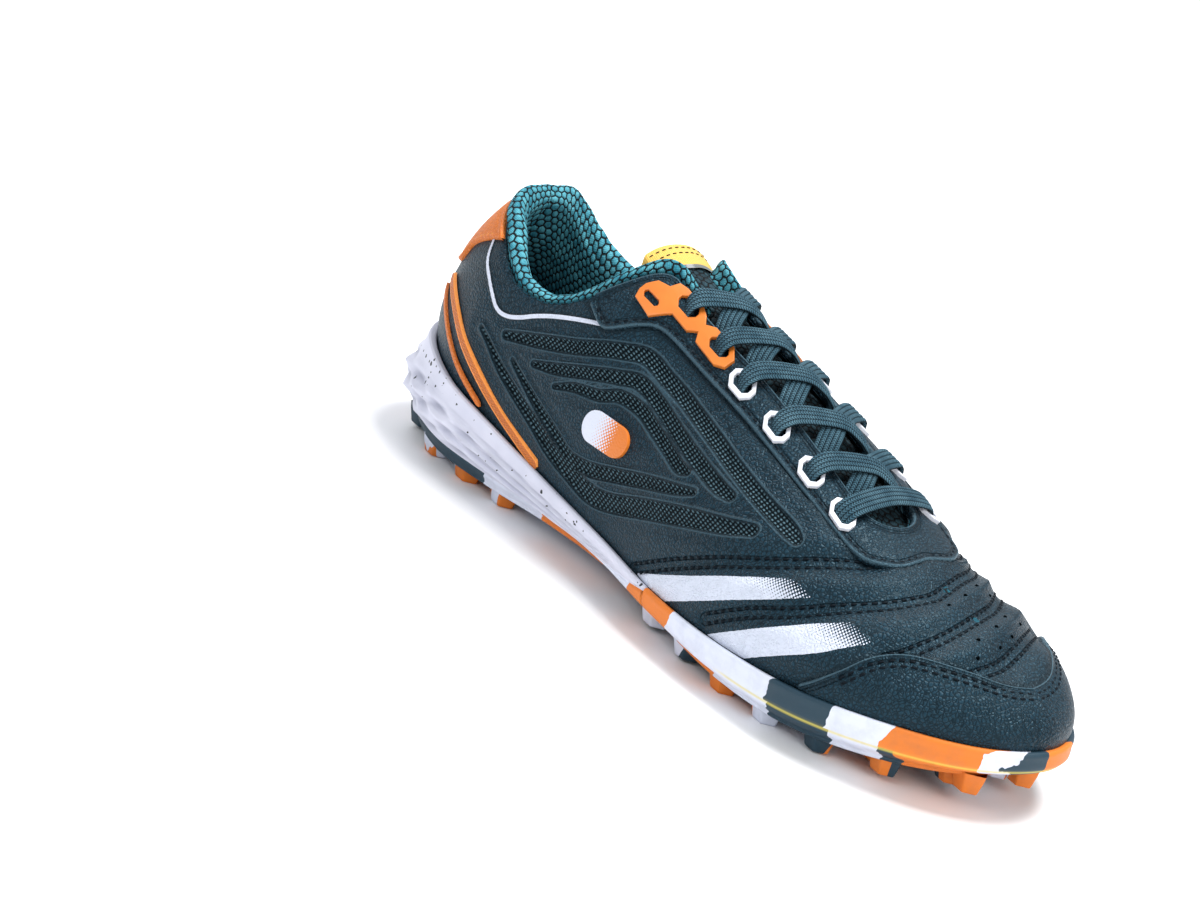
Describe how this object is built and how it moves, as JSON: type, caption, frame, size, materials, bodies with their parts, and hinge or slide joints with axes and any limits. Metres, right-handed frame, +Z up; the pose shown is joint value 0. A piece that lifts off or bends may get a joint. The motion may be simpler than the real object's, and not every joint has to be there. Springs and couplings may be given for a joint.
{
  "type": "turf football shoe",
  "caption": "Low laced football shoe for artificial turf, right foot, with padded collar, foam heel wedge and a rubber outsole with short blunt lugs.",
  "frame": {"origin": "middle of the footprint of the bounding box, on the ground under the lugs", "axes": "+X to the toe, +Y to the inner (medial) side of the foot, +Z up"},
  "size_m": [0.2934, 0.1, 0.1007],
  "materials": {
    "outsole_rubber": "moulded rubber, mottled orange, off-white and dark teal, matt",
    "midsole_foam": "moulded foam, off-white with dark speckles, matt",
    "upper_leather": "synthetic leather, fine pebble grain, soft gloss",
    "heel_orange": "synthetic leather, satin",
    "lining": "padded mesh with a honeycomb knit",
    "tongue_mesh": "open mesh over foam",
    "label": "smooth woven label, blank",
    "insole_cloth": "brushed cloth on foam",
    "eyelet_orange": "moulded soft plastic, satin",
    "eyelet_white": "moulded soft plastic, satin",
    "patch_plain": "flat plain patch, satin",
    "lace": "flat ribbed weave"
  },
  "bodies": {
    "root": {"outsole": "outsole_rubber", "midsole": "midsole_foam", "upper": "upper_leather", "toe_cap": "upper_leather", "eyestay": "upper_leather", "heel_tab": "heel_orange", "heel_stripe_lateral_wide": "heel_orange", "heel_stripe_lateral_thin": "heel_orange", "heel_stripe_medial_wide": "heel_orange", "heel_stripe_medial_thin": "heel_orange", "collar_padding": "lining", "tongue": "tongue_mesh", "tongue_label": "label", "insole": "insole_cloth", "eyelet_panel_lateral": "eyelet_orange", "eyelet_panel_medial": "eyelet_orange", "eyelet_loop_lateral_3": "eyelet_white", "eyelet_loop_lateral_4": "eyelet_white", "eyelet_loop_lateral_5": "eyelet_white", "eyelet_loop_lateral_6": "eyelet_white", "eyelet_loop_medial_3": "eyelet_white", "eyelet_loop_medial_4": "eyelet_white", "eyelet_loop_medial_5": "eyelet_white", "eyelet_loop_medial_6": "eyelet_white", "side_patch_lateral": "patch_plain", "side_patch_medial": "patch_plain", "lace_cross_1": "lace", "lace_cross_2": "lace", "lace_cross_3": "lace", "lace_cross_4": "lace", "lace_cross_5": "lace", "lace_bar": "lace"}
  },
  "joints": []
}
